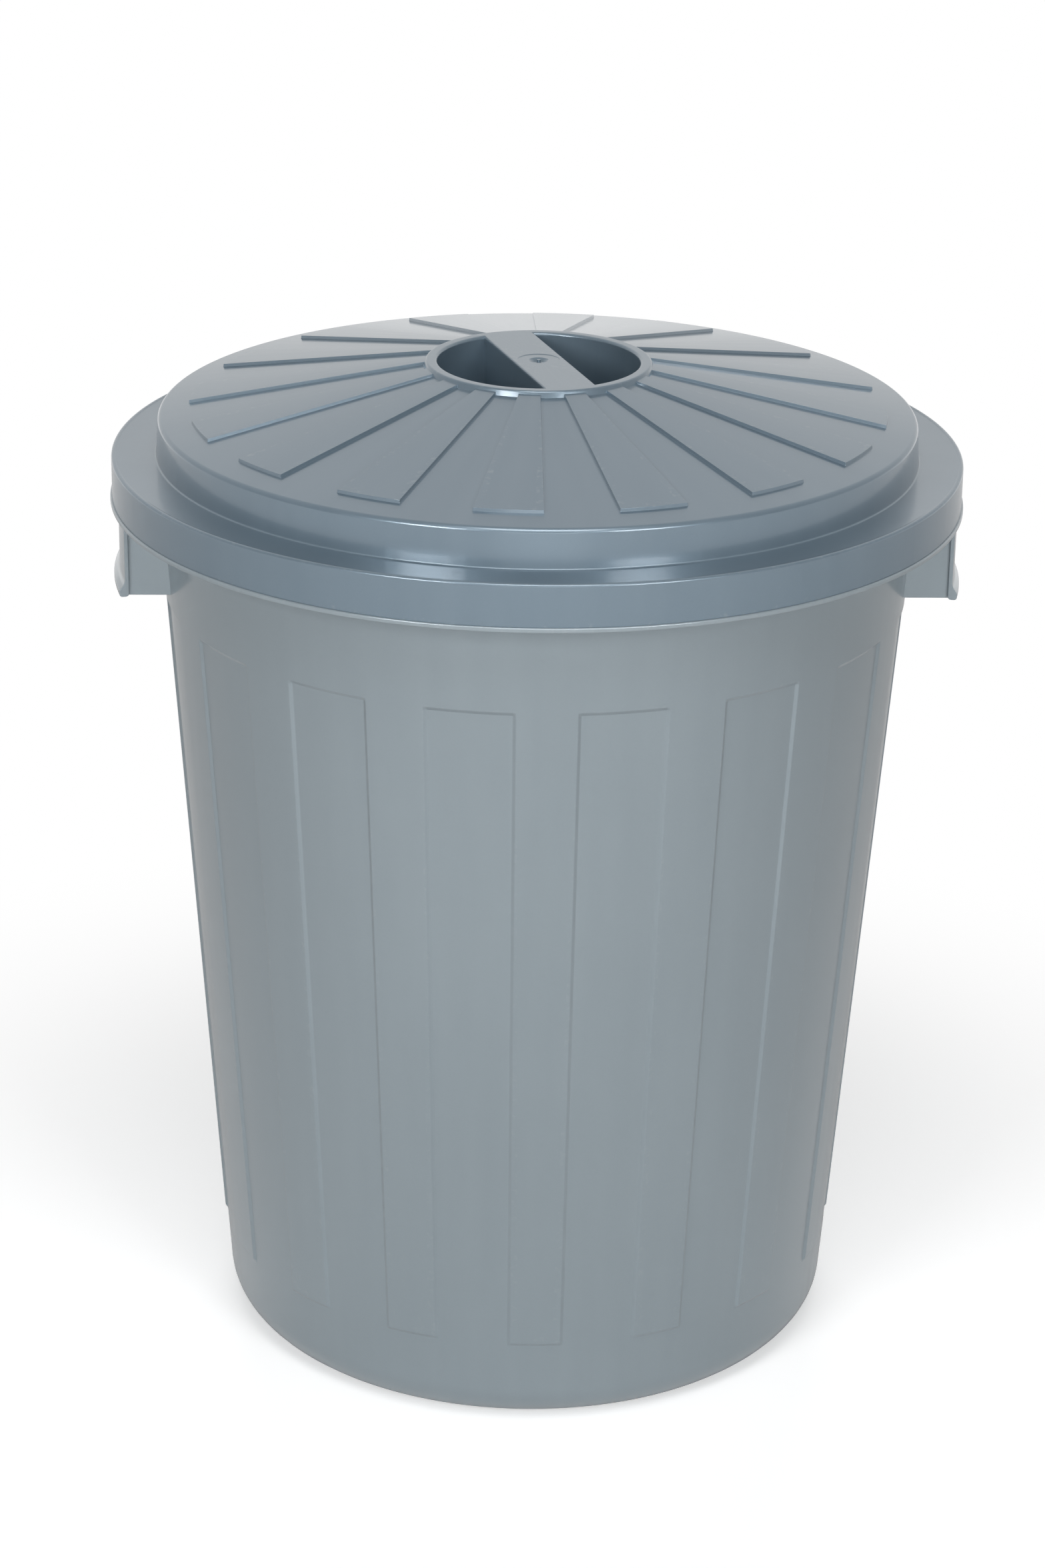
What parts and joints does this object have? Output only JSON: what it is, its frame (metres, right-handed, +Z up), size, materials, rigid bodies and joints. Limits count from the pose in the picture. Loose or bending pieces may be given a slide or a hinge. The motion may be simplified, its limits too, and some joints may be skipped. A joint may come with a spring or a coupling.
{
  "type": "dustbin",
  "caption": "Round tapered plastic dustbin with broad ribs, two moulded side grips and a domed lift-off lid with a hand grip let into its centre.",
  "frame": {"origin": "centre of the ground face under the bin", "axes": "+Z up along the bin's axis, the two side grips on +X and -X, the front of the picture towards -Y"},
  "size_m": [0.503, 0.5028, 0.6053],
  "materials": {
    "tub_plastic": "semi-gloss metallic grey polypropylene",
    "lid_plastic": "semi-gloss metallic grey polypropylene"
  },
  "bodies": {
    "bin": {"bin_body": "tub_plastic"},
    "cover": {"lid": "lid_plastic"}
  },
  "joints": [
    {"name": "lid_lift", "type": "slide", "parent": "bin", "child": "cover", "axis": [0, 0, 1], "range_m": [0, 0.3]}
  ]
}
